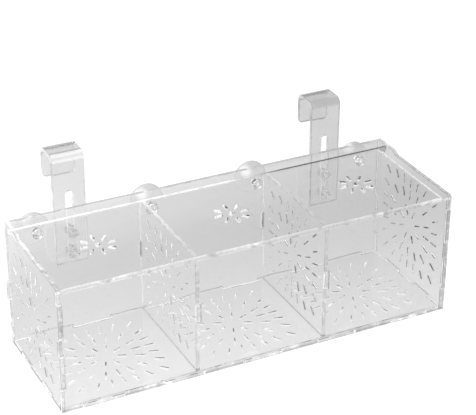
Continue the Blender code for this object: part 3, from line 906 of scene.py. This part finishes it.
# Hooks: flat strips carried round two bends, with a slot for the clamp screws
hookValues = {
    "place": 0.677,  # from the middle, in shares of the half width
    "width": 0.024,
    "rise": 0.0406,  # over the back panel
    "length": 0.0865,
    "reach": 0.022,
    "lip": 0.024,
    "bend": 0.0025,
    "bendSteps": 16,
    "corner": 0.003,
    "cornerSteps": 10,
    "slotWidth": 0.0056,
    "slotFromTop": 0.0287,
    "slotFromBottom": 0.004,
    "slotEndSteps": 14,
    "bevels": (0.00035, 0.0001),
    "edgeTone": 0.7,
    # painted glow of the hooks' rims
    "rimGlow": 0.35,
    "darkShare": 0.8,  # of the edge's or rim's tone, in the dashes
}
hookSides = {  # painted highlights: each bend's glow at shares of its quarter turn, from the upright side to the top
    "left": {"way": -1, "tone": 0.975, "rimTone": 0.66,
             "frontBend": ((0, 0.5), (0.18, 0.52), (0.26, 0.38), (0.5, 0.36), (0.6, 0.55), (0.78, 0.5),
                           (0.88, 0), (1, 0)),
             "rearBend": ((0, 0.3), (0.5, 0.15), (0.64, 0.06), (0.8, 0.06), (1, 0.12))},
    # painted shade: the right hook's strip and rims are darker than the left one's
    "right": {"way": 1, "tone": 0.95, "rimTone": 0.5,
              "frontBend": ((0, 0.2), (0.5, 0.16), (1, 0.12)),
              "rearBend": ((0, 0.2), (0.5, 0.12), (0.64, 0.02), (0.8, 0.02), (1, 0.12))},
}
frontBendSlot, rearBendSlot = 4, 5
hookTop = rearTop + hookValues["rise"]
hookCentre = halfWidth * hookValues["place"]
hookFront = halfDepth + gap
hookRear = halfDepth + hookValues["reach"]
bendOuter = hookValues["bend"] + sheetT


def bendMaterial(name, axisY, way, tones):
    # Painted highlight: glow by the angle round the bend's axis, from 0 on the upright side to 1 on the top
    # plate
    material, tree, shader = clearMaterial(name, bendLooks)
    middle = (0, -axisY * way, bendOuter - hookTop)
    centred = addNode(tree, "ShaderNodeMapping", addPlace(tree), middle, (0, 0, 0), (1, way, 1)).outputs[0]
    _, y, z = addSplit(tree, centred)
    share = addSpan(tree, addMath(tree, "ARCTAN2", z, y), 0, math.pi / 2, 0, 1)
    ramp = addNode(tree, "ShaderNodeValToRGB", share)
    feedAll(tree, shader, {"Emission Color": ramp.outputs["Color"], "Emission Strength": 1})
    stops = ramp.color_ramp.elements
    while len(stops) < len(tones):
        stops.new(0.5)
    for stop, (position, tone) in zip(stops, tones):
        stop.position = position
        stop.color = (tone, tone, tone, 1)
    return material


def hookMaterials(side):
    # One for each of a sheet's slots, and one for each bend
    own, name, dark = hookSides[side], side + "Hook", hookValues["darkShare"]
    edgeTone, rimTone, rimGlow = hookValues["edgeTone"], own["rimTone"], hookValues["rimGlow"]
    strip = clearMaterial(side + "ClearHook", dict(hookLooks, tone=own["tone"]))[0]
    edge = edgeMaterial(name + "Edge", dict(edgeLooks, bright=edgeTone, dark=dark * edgeTone))
    rim = edgeMaterial(name + "Rim", dict(edgeLooks, bright=rimTone, dark=dark * rimTone, glow=rimGlow))
    frontBend = bendMaterial(name + "FrontBend", hookFront + bendOuter, -1, own["frontBend"])
    rearBend = bendMaterial(name + "RearBend", hookRear - bendOuter, 1, own["rearBend"])
    return [strip, edge, edge, rim, frontBend, rearBend]


def makeHook(side):
    # A flat strip, u across and v along, carried round two quarter bends between three straight stretches
    values, centre = hookValues, hookSides[side]["way"] * hookCentre
    middle = values["bend"] + sheetT / 2
    bendLength = middle * np.pi / 2
    rise = values["length"] - bendOuter
    top = hookRear - hookFront - 2 * bendOuter
    lip = values["lip"] - bendOuter
    marks = np.cumsum((rise, bendLength, top, bendLength, lip))
    half, corner, steps = values["width"] / 2, values["corner"], values["bendSteps"] + 1
    stations = np.linspace(marks[[0, 2]], marks[[1, 3]], steps).T.ravel()
    right = np.stack((np.full(len(stations), half), stations), axis=1)
    left = (right * (-1, 1))[::-1]
    tipV, tipU = marks[4] - corner, half - corner
    tip = np.concatenate((arcPoints((tipU, tipV), corner, 0, np.pi / 2, values["cornerSteps"]),
                          arcPoints((-tipU, tipV), corner, np.pi / 2, np.pi, values["cornerSteps"])))
    outline = np.concatenate((((-half, 0), (half, 0)), right, tip, left))
    last = len(outline) - 1
    creases = [(2 + step, last - step) for step in range(len(stations))]
    low, high = values["slotFromBottom"], values["length"] - values["slotFromTop"]
    slot = slotLoops(np.array(((0, (low + high) / 2),)), np.array((np.pi / 2,)), high - low,
                     values["slotWidth"], values["slotEndSteps"])

    def place(u, v, w):
        # The path's direction turns from up to back to down; w is measured from its inner side
        first = np.clip((v - marks[0]) / bendLength, 0, 1) * np.pi / 2
        second = np.clip((v - marks[2]) / bendLength, 0, 1) * np.pi / 2
        outY, outZ = -np.cos(first + second), np.sin(first + second)
        backward = middle * (1 - np.cos(first)) + np.clip(v - marks[1], 0, top) + middle * np.sin(second)
        upward = (np.minimum(v, rise) + middle * np.sin(first) - middle * (1 - np.cos(second))
                  - np.clip(v - marks[3], 0, lip))
        through = w - sheetT / 2
        y = hookFront + sheetT / 2 + backward + through * outY
        z = hookTop - values["length"] + upward + through * outZ
        return np.stack((centre + u, y, z), axis=1)

    hook = makeSheet(side + "Hook", outline, slot, place, hookMaterials(side), values["bevels"], creases)
    centres, slots = readFaces(hook)
    onTop = (centres[:, 2] > hookTop - bendOuter) & (slots == faceSlot)
    slots[onTop & (centres[:, 1] < hookFront + bendOuter)] = frontBendSlot
    slots[onTop & (centres[:, 1] > hookRear - bendOuter)] = rearBendSlot
    hook.data.polygons.foreach_set("material_index", slots)
    return smooth(hook, 25)


# Turned pieces: clamp screws, their nuts and the suction cups
def makeTurned(name, radius, along, place, material, sharpDegrees, closed=False):
    # Radius (cos a, sin a) at each distance along the axis, with the radius a table of side by step.
    # A closed profile's last step joins its first; an open one ends on the axis.
    sides, steps = radius.shape
    angle = 2 * np.pi * np.arange(sides)[:, None] / sides
    grid = (radius * np.cos(angle), radius * np.sin(angle), np.broadcast_to(along, radius.shape))
    points = np.stack([part.ravel() for part in grid], axis=1)
    side, step = np.meshgrid(np.arange(sides), np.arange(steps if closed else steps - 1), indexing="ij")
    here, after = side.ravel() * steps, (side.ravel() + 1) % sides * steps
    step, above = step.ravel(), (step.ravel() + 1) % steps
    faces = np.stack((here + step, after + step, after + above, here + above), axis=1).tolist()
    if not closed:
        points = np.concatenate((points, ((0, 0, along[0]), (0, 0, along[-1]))))
        ring = np.arange(sides) * steps
        following = np.roll(ring, -1)
        pole = np.full(sides, sides * steps)
        faces += np.stack((pole, following, ring), axis=1).tolist()
        faces += np.stack((pole + 1, ring + steps - 1, following + steps - 1), axis=1).tolist()
    piece = newPiece(name, place(*points.T), faces, np.zeros(len(faces)), [material])
    return smooth(piece, sharpDegrees)


screwValues = {
    "below": 0.0214,  # the back panel's top
    "spacing": 0.016,
    "radius": 0.002,
    "clearance": 0.0003,
    "headRadius": 0.0038,
    "headHeight": 0.0024,
    "crown": 0.0008,
    "crownSteps": 9,
    "pitch": 0.0008,
    "threadDepth": 0.00035,
    "threadSteps": 150,
    "stickOut": 0.0012,
    "taper": 0.0005,  # at the tip, down to a share of the radius
    "tipShare": 0.75,
    "tipClosing": 0.999,  # the last ring, of the one before it
    "driveWidth": 0.001,
    "driveDepth": 0.0011,
    "driveFrom": 0.01,  # over the crown's base, in shares of the crown
    "sides": 48,
}
nutValues = {
    "flats": 0.007,
    "height": 0.0032,
    "chamfer": 0.0006,
    "chamferSteps": 5,
    "chamferSlope": 1.4,
    "threadIn": 0.0001,  # the thread's crest, inside the clear bore
    "threadDepth": 0.0003,
    "threadSteps": 60,
    "sides": 72,
}
screwHeights = {"upper": rearTop - screwValues["below"]}
screwHeights["lower"] = screwHeights["upper"] - screwValues["spacing"]


def threadRamp(along, sides):
    # Goes from 1 to 0 and back once in each pitch and once in each turn
    turn = (along[None, :] / screwValues["pitch"] - np.arange(sides)[:, None] / sides) % 1
    return np.abs(2 * turn - 1)


def makeScrew(name, x, z):
    # A crowned head, then a thread: radius minus depth times the ramp.
    # The driver slot is pressed into the head's top, where |v| is under half its width.
    values = screwValues
    face = innerDepth - gap
    length = gap + sheetT + gap + sheetT + gap + nutValues["height"] + values["stickOut"]
    crownBase = values["crown"] - values["headHeight"]
    crown = np.linspace(0, np.pi / 2, values["crownSteps"])[1:]
    shank = np.linspace(0, length, values["threadSteps"])
    along = np.concatenate((crownBase - values["crown"] * np.cos(crown), (0.0,), shank, (length,)))
    taper = np.clip((length - shank) / values["taper"], values["tipShare"], 1)
    thread = (values["radius"] - values["threadDepth"] * threadRamp(shank, values["sides"])) * taper
    thread[:, 0] = values["radius"]
    headRadius = values["headRadius"] * np.append(np.sin(crown), 1)
    head = np.broadcast_to(headRadius, (values["sides"], len(headRadius)))
    radius = np.concatenate((head, thread, thread[:, -1:] * values["tipClosing"]), axis=1)

    def place(u, v, w):
        overBase = w < crownBase - values["driveFrom"] * values["crown"]
        groove = np.where(overBase & (np.abs(v) < values["driveWidth"] / 2), values["driveDepth"], 0)
        return np.stack((x + u, face + w + groove, z - v), axis=1)

    return makeTurned(name, radius, along, place, clearNylon, 50)


def makeNut(name, x, z):
    # Hexagon radius = half flats / cos(angle to the nearest flat), cut by a cone at both ends, and a
    # threaded bore back
    values = nutValues
    face = hookFront + sheetT + gap
    height, chamfer, steps = values["height"], values["chamfer"], values["chamferSteps"]
    angle = 2 * np.pi * np.arange(values["sides"]) / values["sides"]
    flat = values["flats"] / 2 / np.cos((angle + np.pi / 6) % (np.pi / 3) - np.pi / 6)
    up = np.concatenate((np.linspace(0, chamfer, steps), np.linspace(height - chamfer, height, steps)))
    cutBack = values["chamferSlope"] * np.maximum(chamfer - up, up - height + chamfer).clip(0)
    cone = values["flats"] / 2 / math.cos(math.pi / 6) - cutBack
    down = np.linspace(height, 0, values["threadSteps"])
    bore = screwValues["radius"] + screwValues["clearance"] - values["threadIn"]
    inside = bore + values["threadDepth"] * threadRamp(down, values["sides"])
    radius = np.concatenate((np.minimum(flat[:, None], cone[None, :]), inside), axis=1)

    def place(u, v, w):
        return np.stack((x + u, face + w, z - v), axis=1)

    return makeTurned(name, radius, np.concatenate((up, down)), place, clearNylon, 30, closed=True)


cupValues = {
    "below": 0.0138,  # the back panel's top
    "fromHookEdge": 0.015,
    "innerPlace": 0.277,  # from the middle, in shares of the half width
    "radius": 0.0128,
    "reach": 0.0068,
    "rim": 0.0008,
    "rimRound": 0.0002,
    "shoulder": 0.0045,
    "hollow": 0.0038,
    "power": 0.75,
    "neck": 0.0024,
    "knob": 0.0039,
    "knobLength": 0.0045,
    "knobRound": 0.0011,
    "roundSteps": 8,
    "knobPole": 0.0008,  # the last ring before the axis, at either end
    "hollowPole": 0.0004,
    "sides": 72,
    "domeSteps": 20,
    "clearance": 0.0003,
    "leans": (-0.0006, 0.0024, 0.0024, -0.0006),  # how far each soft cup tips up, from the left
    "shineTones": (0.05, 0.2, 0.24, 0.14),  # how bright each dome's painted highlight is
    "shine": (-0.004, 0.009, 0.0085),  # and where, from its centre in the panel
    "shineSpan": (0.0018, 0.006),
    "facingSpan": (0.6, 0.95),
    # painted shade on the dome's turned-away edge, and a faint painted glow on its lower part behind the
    # panel
    "outline": 0.25,
    "outlineLow": 0.75,
    "lift": 0.04,
    "lowerSpan": (-0.001, 0.004),
}
cupHeight = rearTop - cupValues["below"]
cupOuter = hookCentre + hookValues["width"] / 2 + cupValues["fromHookEdge"]
cupInner = halfWidth * cupValues["innerPlace"]
cupCentres = {"left_outer": -cupOuter, "left_inner": -cupInner,
              "right_inner": cupInner, "right_outer": cupOuter}


def cupMaterial(name, x, shine):
    # Clear, with painted shade where the surface turns away, most of all on the upper part that stands over
    # the panel, with a painted highlight, a soft patch of light about one place on the dome, and a faint
    # painted glow below, behind the panel
    values = cupValues
    material, tree, shader = clearMaterial(name, vinylLooks)
    colour = shader["Base Color"].links[0].from_socket
    place = addPlace(tree)
    _, y, z = addSplit(tree, place)
    low, high = (cupHeight + level for level in values["lowerSpan"])
    facing = addNode(tree, "ShaderNodeLayerWeight", 0.5).outputs["Facing"]
    darkest = addSpan(tree, z, low, high, values["outlineLow"], values["outline"])
    outline = addSmoothSpan(tree, facing, *values["facingSpan"], 1, darkest)
    lift = addMath(tree, "MULTIPLY", addSpan(tree, z, low, high, values["lift"], 0),
                   addSpan(tree, y, innerDepth, halfDepth, 0, 1))
    centre = (x + values["shine"][0], innerDepth + values["shine"][1], cupHeight + values["shine"][2])
    away = addNode(tree, "ShaderNodeVectorMath", place, centre, operation="DISTANCE").outputs["Value"]
    feedAll(tree, shader, {
        "Base Color": addMix(tree, 1, colour, outline, data_type="RGBA", blend_type="MULTIPLY"),
        "Emission Color": addSmoothSpan(tree, away, *values["shineSpan"], shine, lift),
        "Emission Strength": 1})
    return material


def makeCup(name, x, lean, material):
    # Profile: knob with rounded shoulders, neck through the panel, dome out to the rim, hollow back in.
    # The dome leans: z rises by lean times the share of the reach behind the panel.
    values = cupValues
    face = innerDepth - gap
    panelBack = sheetT + 2 * gap
    rimAt = panelBack + values["reach"]
    rise = values["reach"] - values["rim"]
    curve, length = values["knobRound"], values["knobLength"]
    knob = values["knob"] - curve
    quarter = np.linspace(0, np.pi / 2, values["roundSteps"])
    swing = np.linspace(0, np.pi / 2, values["domeSteps"] + 1)[1:]
    domeU = values["shoulder"] + (values["radius"] - values["shoulder"]) * np.sin(swing)
    domeW = panelBack + rise * (1 - np.cos(swing)) ** values["power"]
    hollowU = (values["radius"] - values["rim"]) * np.cos(swing[:-1])
    hollowW = rimAt - values["hollow"] * np.sin(swing[:-1])
    profile = np.concatenate((
        ((values["knobPole"], -length),),
        np.stack((knob + curve * np.sin(quarter), -length + curve * (1 - np.cos(quarter))), axis=1),
        np.stack((knob + curve * np.cos(quarter), -curve + curve * np.sin(quarter)), axis=1),
        ((values["neck"], 0), (values["neck"], panelBack), (values["shoulder"], panelBack)),
        np.stack((domeU, domeW), axis=1),
        ((values["radius"], rimAt - values["rimRound"]), (values["radius"] - values["rimRound"], rimAt)),
        np.stack((hollowU, hollowW), axis=1),
        ((values["hollowPole"], rimAt - values["hollow"]),)))

    def place(u, v, w):
        behind = np.clip((w - panelBack) / values["reach"], 0, 1)
        return np.stack((x + u, face + w, cupHeight - v + lean * behind), axis=1)

    radius = np.broadcast_to(profile[:, 0], (values["sides"], len(profile)))
    return makeTurned(name, radius, profile[:, 1], place, material, 35)


# Every piece is made and stands for its solid
stand(makeFloorPanel(), "floor_panel")
stand(makeFrontPanel(), "front_panel")
stand(makeBackPanel(), "back_panel")
for side, x in (("left", -halfWidth), ("right", halfWidth - sheetT)):
    stand(makeEndPanel(side, x), side + "_end_panel")
for side in dividerPlaces:
    stand(makeDivider(side), side + "_divider")
stand(makeLid(), "lid", "lid")
print("sheets made")

for side, own in hookSides.items():
    x = own["way"] * hookCentre
    stand(makeHook(side), "hook_" + side, side + "_hook")
    for level, z in screwHeights.items():
        where = side + "_" + level
        stand(makeScrew(side + level.title() + "Screw", x, z), "hook_screw_" + where, "box")
        stand(makeNut(side + level.title() + "Nut", x, z), "hook_nut_" + where, where + "_nut")
print("hooks, screws and nuts made")

for (where, x), lean, shine in zip(cupCentres.items(), cupValues["leans"], cupValues["shineTones"]):
    cup = makeCup("cup_" + where, x, lean, cupMaterial("vinyl_" + where, x, shine))
    stand(cup, "suction_cup_" + where, "box")
print("suction cups made")

bpy.context.scene.view_settings.view_transform = "Standard"
